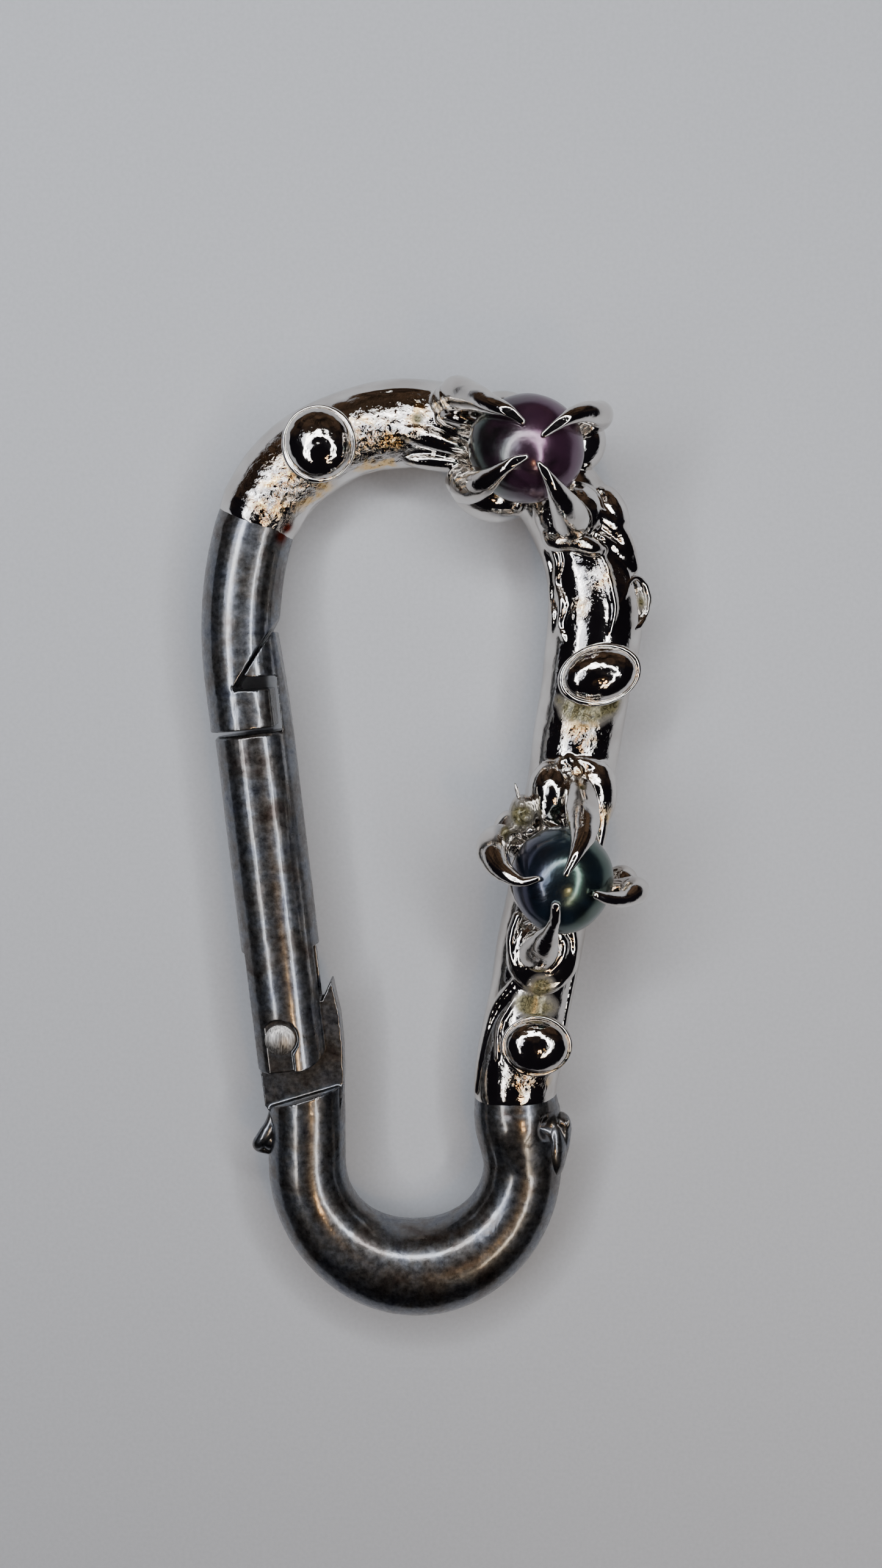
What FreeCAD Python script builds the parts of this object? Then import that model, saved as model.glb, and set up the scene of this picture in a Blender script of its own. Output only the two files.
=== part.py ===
import FreeCAD, Part
import math
import os

# A steel spring hook for keys. Its bent frame is half covered by a grown silver skin
# that carries two baroque pearls in claw settings and three silver beads.
# It lies flat: +X to the right, +Y towards the wide end, +Z up, z = 0 on the table.

# ---------------------------------------------------------------- driving dimensions, mm and degrees
BAR_RADIUS = 3.3            # round steel bar of the frame
MID_Z = 4.12                # height of the bar's centreline above the table
FRAME_START = (-10.05, -19.28)   # centreline of the left leg, where the hinge shoulder is
FRAME_ROUTE = [             # down the left leg and round to the nose: run length; bend radius, angle
    ("run", 7.4),
    ("bend", 9.3, 187.5),
    ("run", 3.7),
    ("bend", 11.2, -17.5),
    ("run", 36.9),
    ("bend", 15.6, 129.6),
    ("bend", 12.1, 45.5),
    ("bend", 31.0, 21.3),
    ("run", 4.2),
]
NOSE_END = 142.85           # length of the centreline
BOW_SWELL = (22.5, 8.0, 0.80)    # where along the bar, how far each way, how much thicker
LEG_SWELL = (40.3, 2.4, 0.45)

SKIN_FROM, SKIN_TO = 41.6, 125.4     # stretch of the bar that the silver skin covers
SKIN_RADIUS = 3.72
SKIN_SWELLS = [(84.0, 8.0, 0.40), (61.0, 5.0, 0.15), (111.0, 7.0, 0.12)]   # like BOW_SWELL
SKIN_END_TILT = -20.0       # the end on the straight leg is askew
BOND = 0.02                 # between the bar and the skin

LUGS = [(4.7, 0.7, 1.6), (37.8, 0.5, 2.4)]   # along the bar, how far each stands out, its length

RIVET = (-12.06, -15.28)    # hinge axis of the gate
LEAN = 6.4                  # the closed gate leans this far to the left of +Y
GATE_RADIUS = 3.33
GATE_OFFSET = 0.66          # gate's centreline, inward of the rivet
GATE_TAIL = -2.87           # gate's rounded end, along the gate from the rivet
GATE_TOP = 25.85            # gate's square shoulder under the nose
OPENING = 28.0              # travel of the gate

SLOT_HALF = 1.5             # half of the slot between the gate's cheeks
SLOT_ROOT = 7.4
TONGUE_HALF = 1.38          # half the thickness of the hinge tongue
RECESS_FLOOR = 2.75         # the milled seats of the rivet heads, from the mid plane
RIVET_RADIUS = 0.9
RIVET_HEAD_RADIUS = 1.28
RUNNING = 0.05              # radial clearance of what turns or slides

PLUNGER_RADIUS = 1.4
PLUNGER_REST = 3.9          # centre of the plunger's nose from the rivet, gate closed
PLUNGER_RATE = 2.75         # its travel in mm per radian of the gate
PLUNGER_LENGTH = 5.6
TAIL_RADIUS, TAIL_LENGTH = 0.65, 4.0   # the plunger's thin tail, inside the spring
BORE_END = 23.0             # bottom of the plunger's bore, along the gate from the rivet

SPRING_RADIUS, WIRE_RADIUS, SPRING_TURNS = 1.05, 0.2, 15
SPRING_GAP = 0.05           # free space at each end of the spring

PAST = 5.0                  # how far cutting blocks reach past the mid plane, beyond every surface

PEARLS = {                  # along the bar, outward shift, half sizes along, across and up, turn
    "upper": dict(at=99.4, out=0.0, half=(4.70, 4.35, 4.05), turn=30.0, claw_turn=12.0),
    "lower": dict(at=62.6, out=0.1, half=(4.55, 4.20, 3.95), turn=-20.0, claw_turn=-4.0),
}
CLAW_COUNT = 4
BEADS = {                   # along the bar, outward shift, half sizes, thickness of the rim
    "top": dict(at=117.0, out=-0.15, half=(2.60, 2.45, 1.7), rim=0.30),
    "corner": dict(at=79.4, out=0.45, half=(2.05, 2.85, 1.6), rim=0.45),
    "spine": dict(at=48.0, out=0.9, half=(2.10, 2.45, 1.6), rim=0.42),
}


# ---------------------------------------------------------------- the centreline
def station(s):
    """Centre point and heading in degrees at distance s along the frame's centreline."""
    x, y = FRAME_START
    heading = -90.0
    for step in FRAME_ROUTE:
        length = step[1] if step[0] == "run" else step[1] * math.radians(abs(step[2]))
        part = min(max(s, 0.0), length) if step is not FRAME_ROUTE[-1] else s
        a = math.radians(heading)
        if step[0] == "run":
            x += part * math.cos(a)
            y += part * math.sin(a)
        else:
            side = 1 if step[2] > 0 else -1
            turned = side * part / step[1]
            cx = x - side * step[1] * math.sin(a)
            cy = y + side * step[1] * math.cos(a)
            x = cx + side * step[1] * math.sin(a + turned)
            y = cy - side * step[1] * math.cos(a + turned)
            heading += math.degrees(turned)
        s -= length
        if s <= 0:
            break
    return FreeCAD.Vector(x, y, MID_Z), heading


def outward(heading):
    """Unit vector to the right of the heading, which is the outer side of the frame."""
    a = math.radians(heading)
    return FreeCAD.Vector(math.sin(a), -math.cos(a), 0)


def along(heading):
    a = math.radians(heading)
    return FreeCAD.Vector(math.cos(a), math.sin(a), 0)


def swell(s, bumps):
    return sum(size * math.exp(-((s - centre) / reach) ** 2) for centre, reach, size in bumps)


def bar_radius(s):
    return BAR_RADIUS + swell(s, [BOW_SWELL, LEG_SWELL])


def skin_radius(s):
    return SKIN_RADIUS + swell(s, SKIN_SWELLS)


def ring_at(s, radius, tilt=0.0):
    """A circle square to the centreline, with its seam always underneath."""
    point, heading = station(s)
    ring = Part.Wire([Part.Edge(Part.Circle(FreeCAD.Vector(0, 0, 0), FreeCAD.Vector(0, 0, 1), radius))])
    ring.rotate(FreeCAD.Vector(0, 0, 0), FreeCAD.Vector(0, 1, 0), 90)
    ring.rotate(FreeCAD.Vector(0, 0, 0), FreeCAD.Vector(0, 0, 1), heading + tilt)
    ring.translate(point)
    return ring


def round_bar(start, end, radius_at, spacing=2.6, first_tilt=0.0):
    """A round bar along the centreline; first_tilt sets its first face askew, in degrees."""
    count = int(math.ceil((end - start) / spacing))
    rings = [ring_at(start, radius_at(start), first_tilt)]
    for i in range(1, count + 1):
        s = start + (end - start) * i / count
        rings.append(ring_at(s, radius_at(s)))
    return Part.makeLoft(rings, True, False)


# ---------------------------------------------------------------- the gate's own frame
def place_on_gate(shape):
    """From the gate's frame (x inward, y along the gate, z up, all from the rivet) to the part's."""
    turned = shape.copy()
    turned.rotate(FreeCAD.Vector(0, 0, 0), FreeCAD.Vector(0, 0, 1), LEAN)
    turned.translate(FreeCAD.Vector(RIVET[0], RIVET[1], MID_Z))
    return turned


def prism(points, low, high):
    """A straight-sided block over an outline; a corner of four numbers is reached by an arc
    that passes through the first two."""
    edges = []
    here = FreeCAD.Vector(points[0][0], points[0][1], low)
    for item in points[1:] + [points[0]]:
        if len(item) == 4:
            mid = FreeCAD.Vector(item[0], item[1], low)
            end = FreeCAD.Vector(item[2], item[3], low)
            edges.append(Part.Arc(here, mid, end).toShape())
        else:
            end = FreeCAD.Vector(item[0], item[1], low)
            edges.append(Part.LineSegment(here, end).toShape())
        here = end
    return Part.Face(Part.Wire(edges)).extrude(FreeCAD.Vector(0, 0, high - low))


def rod(radius, start, end, x=GATE_OFFSET):
    """A cylinder along the gate."""
    return Part.makeCylinder(radius, end - start, FreeCAD.Vector(x, start, 0), FreeCAD.Vector(0, 1, 0))


def post(radius, low, high, x=0.0, y=0.0):
    return Part.makeCylinder(radius, high - low, FreeCAD.Vector(x, y, low))


def make_gate():
    shell = rod(GATE_RADIUS, GATE_TAIL - 0.5, GATE_TOP)
    rims = [e for e in shell.Edges if abs(e.CenterOfMass.y - GATE_TOP) < 0.01]
    shell = shell.makeChamfer(0.25, rims)
    left, right = GATE_OFFSET - GATE_RADIUS, GATE_OFFSET + GATE_RADIUS
    plan = prism(
        [
            (left - 1, 40),
            (left - 1, GATE_TAIL + 1.3),
            (left, GATE_TAIL + 1.3),
            (left + 0.35, GATE_TAIL + 0.35, left + 1.3, GATE_TAIL),
            (right - 2.6, GATE_TAIL),
            (right - 0.75, GATE_TAIL + 0.85, right, GATE_TAIL + 2.9),
            (right + 1, GATE_TAIL + 2.9),
            (right + 1, 40),
        ],
        -PAST, PAST,
    )
    gate = shell.common(plan)
    gate = gate.fuse(make_latch_head()).removeSplitter()
    slot = Part.makeBox(12, SLOT_ROOT + 8, 2 * SLOT_HALF, FreeCAD.Vector(-6, -8, -SLOT_HALF))
    gate = gate.cut(slot)
    gate = gate.cut(post(RIVET_RADIUS + RUNNING, -PAST, PAST))
    for low, high in ((RECESS_FLOOR, PAST), (-PAST, -RECESS_FLOOR)):
        seat = post(1.6, low, high, 0.0, 0.1)
        mouth = Part.makeBox(2.3, 4, high - low, FreeCAD.Vector(-1.35, -4, low))
        gate = gate.cut(seat.fuse(mouth))
    bore = rod(PLUNGER_RADIUS + RUNNING, SLOT_ROOT - 1, BORE_END)
    drill_point = Part.makeCone(
        PLUNGER_RADIUS + RUNNING, 0.1, 0.8, FreeCAD.Vector(GATE_OFFSET, BORE_END, 0), FreeCAD.Vector(0, 1, 0)
    )
    return gate.cut(bore.fuse(drill_point))


def make_latch_head():
    """The thin strip and the hooked head that the nose holds when the gate is shut."""
    plan = prism(
        [
            (3.22, GATE_TOP - 0.5),
            (3.22, 30.45),
            (1.0, 30.6),
            (0.82, 30.72, 0.92, 31.0),
            (3.28, 34.0),
            (3.42, 34.07, 3.55, 33.95),
            (3.80, 30.0),
            (GATE_OFFSET + GATE_RADIUS, GATE_TOP - 0.5),
        ],
        -PAST, PAST,
    )
    return rod(GATE_RADIUS, GATE_TOP - 0.5, 35).common(plan)


def latch_notch():
    """The stepped cut in the nose that takes the latch head."""
    return prism(
        [
            (4.40, 35.75),
            (-0.25, 29.95),
            (-0.33, 29.70, -0.10, 29.55),
            (2.60, 29.42),
            (2.55, 25.0),
            (7.0, 25.0),
            (7.0, 35.75),
        ],
        -PAST, PAST,
    )


def cam_edge(count=7):
    """Edge of the tongue that the plunger's nose rides on: the nose's path, set back by its radius."""
    points = []
    for i in range(count):
        turn = math.radians(OPENING) * i / (count - 1)
        height = PLUNGER_REST + PLUNGER_RATE * turn
        c, s = math.cos(turn), math.sin(turn)
        x = GATE_OFFSET * c + height * s
        y = -GATE_OFFSET * s + height * c
        dx = height * c - GATE_OFFSET * s + PLUNGER_RATE * s
        dy = -height * s - GATE_OFFSET * c + PLUNGER_RATE * c
        back = (PLUNGER_RADIUS + RUNNING) / math.hypot(dx, dy)
        points.append(FreeCAD.Vector(x + dy * back, y - dx * back, -TONGUE_HALF))
    return points


def make_tongue():
    """The flat hinge plate with its cam edge and the pointed stop at the end of the travel."""
    cam = cam_edge()
    curve = Part.BSplineCurve()
    curve.interpolate(cam)
    hub = 2.2
    z = -TONGUE_HALF
    corners = [
        (3.78, 2.60), (4.62, 4.10), (4.78, 4.15), (5.10, 1.10),
        (5.04, -1.80), (4.80, -4.4), (4.2, -7.5), (-1.2, -7.5), (-2.15, -5.9), (-hub, 0.0),
    ]
    top_of_hub = FreeCAD.Vector(hub * math.cos(math.radians(76)), hub * math.sin(math.radians(76)), z)
    edges = [curve.toShape()]
    here = cam[-1]
    for x, y in corners:
        there = FreeCAD.Vector(x, y, z)
        edges.append(Part.LineSegment(here, there).toShape())
        here = there
    side = FreeCAD.Vector(hub * math.cos(math.radians(128)), hub * math.sin(math.radians(128)), z)
    edges.append(Part.Arc(here, side, top_of_hub).toShape())
    edges.append(Part.LineSegment(top_of_hub, cam[0]).toShape())
    face = Part.Face(Part.Wire(edges))
    tongue = face.extrude(FreeCAD.Vector(0, 0, 2 * TONGUE_HALF))
    return tongue.cut(post(RIVET_RADIUS, -PAST, PAST))


def make_rivet():
    """One steel rivet, peened to a low dome at both ends."""
    under = RECESS_FLOOR + RUNNING
    edge = under + 0.2
    crown = under + 0.57
    dome_radius = (RIVET_HEAD_RADIUS ** 2 + (crown - edge) ** 2) / (2 * (crown - edge))
    dome = Part.makeSphere(dome_radius, FreeCAD.Vector(0, 0, crown - dome_radius))
    head = dome.common(post(RIVET_HEAD_RADIUS + 1, edge, crown + 1)).fuse(post(RIVET_HEAD_RADIUS, under, edge))
    other = head.mirror(FreeCAD.Vector(0, 0, 0), FreeCAD.Vector(0, 0, 1))
    return post(RIVET_RADIUS, -under, under).fuse([head, other]).removeSplitter()


def make_plunger():
    end = PLUNGER_REST + PLUNGER_LENGTH
    nose = Part.makeSphere(PLUNGER_RADIUS, FreeCAD.Vector(GATE_OFFSET, PLUNGER_REST, 0))
    body = rod(PLUNGER_RADIUS, PLUNGER_REST, end)
    tail = rod(TAIL_RADIUS, end - 0.5, end + TAIL_LENGTH)
    return body.fuse([nose, tail]).removeSplitter()


def make_gate_spring():
    """A compression spring between the plunger's shoulder and the end of the bore."""
    start = PLUNGER_REST + PLUNGER_LENGTH + WIRE_RADIUS + SPRING_GAP
    length = BORE_END - WIRE_RADIUS - SPRING_GAP - start
    helix = Part.makeHelix(length / SPRING_TURNS, length, SPRING_RADIUS)
    ring = Part.Wire([Part.Edge(Part.Circle(
        FreeCAD.Vector(SPRING_RADIUS, 0, 0), FreeCAD.Vector(0, 1, 0), WIRE_RADIUS
    ))])
    coil = Part.Wire(helix.Edges).makePipeShell([ring], True, True)
    coil.rotate(FreeCAD.Vector(0, 0, 0), FreeCAD.Vector(1, 0, 0), -90)
    coil.translate(FreeCAD.Vector(GATE_OFFSET, start, 0))
    return coil


# ---------------------------------------------------------------- the frame
def make_frame_bar():
    bar = round_bar(0.0, NOSE_END, bar_radius)
    shoulder = prism([(-6, -6.75), (7, -4.35), (7, 8), (-6, 8)], -6, 6)
    nose_cut = latch_notch()
    bar = bar.cut(place_on_gate(shoulder)).cut(place_on_gate(nose_cut))
    bar = bar.fuse(place_on_gate(make_tongue()))
    for lug in LUGS:
        bar = bar.fuse(make_lug(*lug))
    return bar


def make_lug(s, stands_out, length):
    """A small forging lug on the outer side of a leg."""
    point, heading = station(s)
    centre = point + outward(heading) * (bar_radius(s) + stands_out - 1.0)
    lug = Part.makeSphere(1.0)
    scale = FreeCAD.Matrix()
    scale.scale(length / 2, 1.0, 1.2)
    lug = lug.transformGeometry(scale)
    lug.rotate(FreeCAD.Vector(0, 0, 0), FreeCAD.Vector(0, 0, 1), heading)
    lug.translate(centre)
    return lug


def make_skin():
    outside = round_bar(SKIN_FROM, SKIN_TO, skin_radius, first_tilt=SKIN_END_TILT)
    inside = round_bar(SKIN_FROM - 3, SKIN_TO + 3, lambda s: bar_radius(s) + BOND)
    return outside.cut(inside)


# ---------------------------------------------------------------- settings and beads
def ellipsoid(half, centre, turn=0.0):
    scale = FreeCAD.Matrix()
    scale.scale(*half)
    body = Part.makeSphere(1.0).transformGeometry(scale)
    body.rotate(FreeCAD.Vector(0, 0, 0), FreeCAD.Vector(0, 0, 1), turn)
    body.translate(centre)
    return body


def setting_centre(pearl):
    point, heading = station(pearl["at"])
    rise = skin_radius(pearl["at"]) + 0.25 + pearl["half"][2]
    return point + outward(heading) * pearl["out"] + FreeCAD.Vector(0, 0, rise), heading


def make_pearl(pearl):
    centre, heading = setting_centre(pearl)
    return ellipsoid(pearl["half"], centre, heading + pearl["turn"])


def make_cup(pearl, pearl_body, skin, bar):
    """The flared silver cup that the pearl is bedded in."""
    centre, _ = setting_centre(pearl)
    foot = MID_Z + skin_radius(pearl["at"]) - 1.6
    rim = centre.z - 1.9
    cup = Part.makeCone(2.6, 4.0, rim - foot, FreeCAD.Vector(centre.x, centre.y, foot))
    return biggest(cup.cut(pearl_body).cut(skin).cut(bar))


def make_claw(pearl, index, cup, pearl_body, skin, bar):
    """A tapered claw that rises from the cup and closes over the pearl."""
    centre, heading = setting_centre(pearl)
    a = math.radians(heading + pearl["claw_turn"] + 45 + 90 * index)
    reach, height = (pearl["half"][0] + pearl["half"][1]) / 2, pearl["half"][2]
    rings = []
    count = 8
    for i in range(count + 1):
        t = i / count
        lift = math.radians(-52 + 112 * t)
        thick = 1.05 * (1 - t) + 0.36 * t
        out = reach + 0.55 * thick
        up = height + 0.55 * thick
        point = centre + FreeCAD.Vector(
            out * math.cos(lift) * math.cos(a), out * math.cos(lift) * math.sin(a), up * math.sin(lift)
        )
        tangent = FreeCAD.Vector(
            -out * math.sin(lift) * math.cos(a), -out * math.sin(lift) * math.sin(a), up * math.cos(lift)
        )
        rings.append(Part.Wire([Part.Edge(Part.Circle(point, tangent, thick))]))
    claw = Part.makeLoft(rings, True, False)
    for other in (pearl_body, cup, skin, bar):
        claw = claw.cut(other)
    return biggest(claw)


def biggest(shape):
    return max(shape.Solids, key=lambda solid: solid.Volume)


def bead_centre(bead):
    point, heading = station(bead["at"])
    rise = math.sqrt(skin_radius(bead["at"]) ** 2 - bead["out"] ** 2) + 0.25
    return point + outward(heading) * bead["out"] + FreeCAD.Vector(0, 0, rise), heading


def make_bead(bead, skin, bar):
    centre, heading = bead_centre(bead)
    return biggest(ellipsoid(bead["half"], centre, heading).cut(skin).cut(bar))


def make_bead_rim(bead, bead_body, skin, bar):
    """The melted rim round the foot of a bead."""
    centre, heading = bead_centre(bead)
    low = centre - FreeCAD.Vector(0, 0, 0.55)
    half = (bead["half"][0] + bead["rim"], bead["half"][1] + bead["rim"], 0.75)
    rim = ellipsoid(half, low, heading)
    return biggest(rim.cut(bead_body).cut(skin).cut(bar))


def make_leaf(skin, bar):
    """A thin curled petal that stands out at the corner of the frame."""
    point, heading = station(85.5)
    centre = point + outward(heading) * (skin_radius(85.5) - 0.85) + FreeCAD.Vector(0, 0, 1.2)
    petal = ellipsoid((3.0, 1.1, 1.6), centre, heading + 12)
    return biggest(petal.cut(skin).cut(bar))


def main():
    os.makedirs("parts", exist_ok=True)
    nodes = {}
    bar = make_frame_bar()
    skin = make_skin()
    nodes["frame_bar"] = bar
    nodes["silver_skin"] = skin
    nodes["gate"] = place_on_gate(make_gate())
    nodes["gate_rivet"] = place_on_gate(make_rivet())
    nodes["gate_plunger"] = place_on_gate(make_plunger())
    nodes["gate_spring"] = place_on_gate(make_gate_spring())
    for name, pearl in PEARLS.items():
        body = make_pearl(pearl)
        cup = make_cup(pearl, body, skin, bar)
        nodes["pearl_" + name] = body
        nodes["cup_" + name] = cup
        for index in range(CLAW_COUNT):
            nodes["claw_%s_%d" % (name, index + 1)] = make_claw(pearl, index, cup, body, skin, bar)
    for name, bead in BEADS.items():
        body = make_bead(bead, skin, bar)
        nodes["bead_" + name] = body
        nodes["rim_" + name] = make_bead_rim(bead, body, skin, bar)
    nodes["leaf_petal"] = make_leaf(skin, bar)
    for name, shape in nodes.items():
        if not shape.isValid() or len(shape.Solids) != 1:
            raise ValueError(name + " is not one valid solid")
        shape.exportStep("parts/" + name + ".step")


main()
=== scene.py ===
import bmesh
import bpy
import math
import numpy as np
from bpy.props import FloatProperty, FloatVectorProperty, PointerProperty
from mathutils import Matrix, Vector, noise


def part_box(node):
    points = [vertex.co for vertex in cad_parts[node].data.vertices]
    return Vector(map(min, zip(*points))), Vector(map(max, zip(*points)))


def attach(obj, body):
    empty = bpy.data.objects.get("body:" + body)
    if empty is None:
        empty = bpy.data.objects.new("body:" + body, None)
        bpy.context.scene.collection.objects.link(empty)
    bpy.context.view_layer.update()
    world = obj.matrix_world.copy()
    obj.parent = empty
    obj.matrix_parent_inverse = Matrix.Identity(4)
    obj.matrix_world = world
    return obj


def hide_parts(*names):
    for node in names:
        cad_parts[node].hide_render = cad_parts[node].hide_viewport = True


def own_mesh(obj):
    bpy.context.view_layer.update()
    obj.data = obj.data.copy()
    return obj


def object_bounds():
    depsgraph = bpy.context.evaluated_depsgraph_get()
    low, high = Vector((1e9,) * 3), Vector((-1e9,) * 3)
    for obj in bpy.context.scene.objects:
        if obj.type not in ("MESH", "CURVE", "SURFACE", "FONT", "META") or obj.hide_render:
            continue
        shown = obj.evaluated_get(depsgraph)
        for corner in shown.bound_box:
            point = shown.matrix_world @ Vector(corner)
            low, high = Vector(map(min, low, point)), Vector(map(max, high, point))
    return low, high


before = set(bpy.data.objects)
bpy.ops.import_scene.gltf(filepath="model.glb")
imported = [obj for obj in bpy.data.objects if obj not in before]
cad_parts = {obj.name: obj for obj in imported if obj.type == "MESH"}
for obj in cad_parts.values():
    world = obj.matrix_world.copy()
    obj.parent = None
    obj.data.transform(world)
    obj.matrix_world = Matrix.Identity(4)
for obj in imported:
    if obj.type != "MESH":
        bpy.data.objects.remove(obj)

bl_info = {
    "name": "Pearl-set key hook",
    "version": (1, 0, 0),
    "blender": (4, 5, 0),
    "location": "3D View > Sidebar > Key Hook",
    "description": "Builds the finished look of a spring-gate key hook with a grown silver skin and pearls",
    "category": "Add Mesh",
}

CAD_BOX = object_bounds()
MM = 0.001

# The centreline of the bent bar, from the hinge shoulder down the left leg and round to the nose, in mm.
MID_Z = 4.12
ROUTE_START = (-10.05, -19.28)
ROUTE = [
    ("run", 7.4), ("bend", 9.3, 187.5), ("run", 3.7), ("bend", 11.2, -17.5), ("run", 36.9),
    ("bend", 15.6, 129.6), ("bend", 12.1, 45.5), ("bend", 31.0, 21.3), ("run", 4.2),
]
SKIN_FROM, SKIN_TO = 41.6, 125.4

# The bar's radius, and where along it, how far each way and by how much it swells.
BAR_RADIUS = 3.3
SWELLS = [(22.5, 8.0, 0.80), (40.3, 2.4, 0.45)]

UP = Vector((0, 0, 1))


# ------------------------------------------------------------ places on the bar, in mm
def station(s):
    """Centre point and heading, in radians, at distance s along the bar."""
    x, y = ROUTE_START
    a = math.radians(-90)
    for step in ROUTE:
        length = step[1] if step[0] == "run" else step[1] * math.radians(abs(step[2]))
        part = min(max(s, 0.0), length)
        if step[0] == "run":
            x += part * math.cos(a)
            y += part * math.sin(a)
        else:
            side = 1 if step[2] > 0 else -1
            turned = side * part / step[1]
            x += side * step[1] * (math.sin(a + turned) - math.sin(a))
            y -= side * step[1] * (math.cos(a + turned) - math.cos(a))
            a += turned
        s -= length
        if s <= 0:
            break
    return Vector((x, y, MID_Z)), a


def on_bar(s, around, radius):
    """A point at that radius from the centreline; around is 0 on top and +90 degrees on the outer side."""
    centre, a = station(s)
    outward = Vector((math.sin(a), -math.cos(a), 0))
    t = math.radians(around)
    return centre + (outward * math.sin(t) + UP * math.cos(t)) * radius


def bar_radius(s):
    return BAR_RADIUS + sum(size * math.exp(-((s - place) / reach) ** 2) for place, reach, size in SWELLS)


def centre_of(node):
    """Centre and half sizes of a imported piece."""
    low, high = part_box(node)
    return (low + high) / 2 / MM, (high - low) / 2 / MM


# ------------------------------------------------------------ raw shapes: lists of points and faces, in mm
def smooth_line(points, count):
    """Points of three or four numbers each, run through by a Catmull-Rom curve."""
    p = np.array([points[0], *points, points[-1]], float)
    p[0] = 2 * p[1] - p[2]
    p[-1] = 2 * p[-2] - p[-3]
    out = []
    for t in np.linspace(0, len(points) - 1, count):
        i = min(int(t), len(points) - 2)
        u = t - i
        a, b, c, d = p[i: i + 4]
        square, cube = 2 * a - 5 * b + 4 * c - d, 3 * b - a - 3 * c + d
        out.append(0.5 * (2 * b + (c - a) * u + square * u * u + cube * u ** 3))
    return np.array(out)


def tube(line, radii, sides=24, flatten=1.0):
    """A closed tube with round ends along a line of points; flatten squeezes it towards the table."""
    line = [Vector(p) for p in line]
    points, faces = [], []
    across = None
    for i, p in enumerate(line):
        ahead = (line[min(i + 1, len(line) - 1)] - line[max(i - 1, 0)]).normalized()
        if across is None:
            across = ahead.orthogonal().normalized()
        across = (across - ahead * across.dot(ahead)).normalized()
        other = ahead.cross(across)
        for k in range(sides):
            t = 2 * math.pi * k / sides
            offset = (across * math.cos(t) + other * math.sin(t)) * radii[i]
            offset.z *= flatten
            points.append(p + offset)
    for i in range(len(line) - 1):
        for k in range(sides):
            n = (k + 1) % sides
            faces.append((i * sides + k, i * sides + n, (i + 1) * sides + n, (i + 1) * sides + k))
    for end, outward in ((0, line[0] - line[1]), (len(line) - 1, line[-1] - line[-2])):
        ring = [end * sides + k for k in range(sides)]
        cap = outward.normalized() * radii[end]
        steps = 4
        for j in range(1, steps):
            lean = math.pi / 2 * j / steps
            new = []
            for k in range(sides):
                arm = points[end * sides + k] - line[end]
                new.append(len(points))
                points.append(line[end] + arm * math.cos(lean) + cap * math.sin(lean))
            for k in range(sides):
                n = (k + 1) % sides
                quad = (ring[k], ring[n], new[n], new[k])
                faces.append(quad if end else quad[::-1])
            ring = new
        tip = len(points)
        points.append(line[end] + cap)
        for k in range(sides):
            n = (k + 1) % sides
            face = (ring[k], ring[n], tip)
            faces.append(face if end else face[::-1])
    return points, faces


def blob(centre, half, turn=0.0, finer=4):
    """An egg shape of three half sizes, turned about the vertical, in degrees."""
    bm = bmesh.new()
    bmesh.ops.create_icosphere(bm, subdivisions=finer, radius=1.0)
    place = Matrix.Rotation(math.radians(turn), 3, "Z")
    points = [Vector(centre) + place @ Vector([c * h for c, h in zip(v.co, half)]) for v in bm.verts]
    faces = [tuple(v.index for v in f.verts) for f in bm.faces]
    bm.free()
    return points, faces


def halo(centre, half, thick, turn, wave):
    """An oval ring that stands round a bead, rising and falling by wave."""
    points, faces = [], []
    rounds, sides = 96, 16
    a0 = math.radians(turn)
    for i in range(rounds):
        a = 2 * math.pi * i / rounds
        x, y = half[0] * math.cos(a), half[1] * math.sin(a)
        px, py = x * math.cos(a0) - y * math.sin(a0), x * math.sin(a0) + y * math.cos(a0)
        z = wave * math.sin(3 * a + 1)
        size = thick * (1 + 0.25 * math.sin(2 * a + 0.6))
        outward = Vector((px, py, 0)).normalized()
        for k in range(sides):
            t = 2 * math.pi * k / sides
            round_it = outward * math.cos(t) + UP * 1.3 * math.sin(t)
            points.append(Vector(centre) + Vector((px, py, z)) + round_it * size)
    for i in range(rounds):
        for k in range(sides):
            n, j = (k + 1) % sides, (i + 1) % rounds
            faces.append((i * sides + k, j * sides + k, j * sides + n, i * sides + n))
    return points, faces


# ------------------------------------------------------------ making pieces
def piece(name, shapes):
    """One object from several raw shapes, turned from millimetres to metres."""
    points, faces = [], []
    for some_points, some_faces in shapes:
        start = len(points)
        points += [Vector(p) * MM for p in some_points]
        faces += [tuple(i + start for i in face) for face in some_faces]
    mesh = bpy.data.meshes.new(name)
    mesh.from_pydata(points, [], faces)
    obj = bpy.data.objects.new(name, mesh)
    bpy.context.scene.collection.objects.link(obj)
    return obj


def copy_of_node(name, node):
    """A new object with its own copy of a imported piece's mesh."""
    obj = bpy.data.objects.new(name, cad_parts[node].data.copy())
    obj.data.materials.clear()
    bpy.context.scene.collection.objects.link(obj)
    return obj


def settle(obj):
    """Replaces the mesh by what its modifiers make of it."""
    made = bpy.data.meshes.new_from_object(obj.evaluated_get(bpy.context.evaluated_depsgraph_get()))
    obj.modifiers.clear()
    obj.data = made
    made.name = obj.name
    return obj


def melt(obj, voxel, rounds=3, factor=0.5):
    """Melts overlapping shapes into one closed skin with soft edges; voxel is in mm."""
    remesh = obj.modifiers.new("melt", "REMESH")
    remesh.mode = "VOXEL"
    remesh.voxel_size = voxel * MM
    soften = obj.modifiers.new("soften", "SMOOTH")
    soften.iterations = rounds
    soften.factor = factor
    return settle(obj)


def coordinates(obj):
    """Places of all vertices, in mm."""
    co = np.empty(len(obj.data.vertices) * 3)
    obj.data.vertices.foreach_get("co", co)
    return co.reshape(-1, 3) / MM


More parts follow.
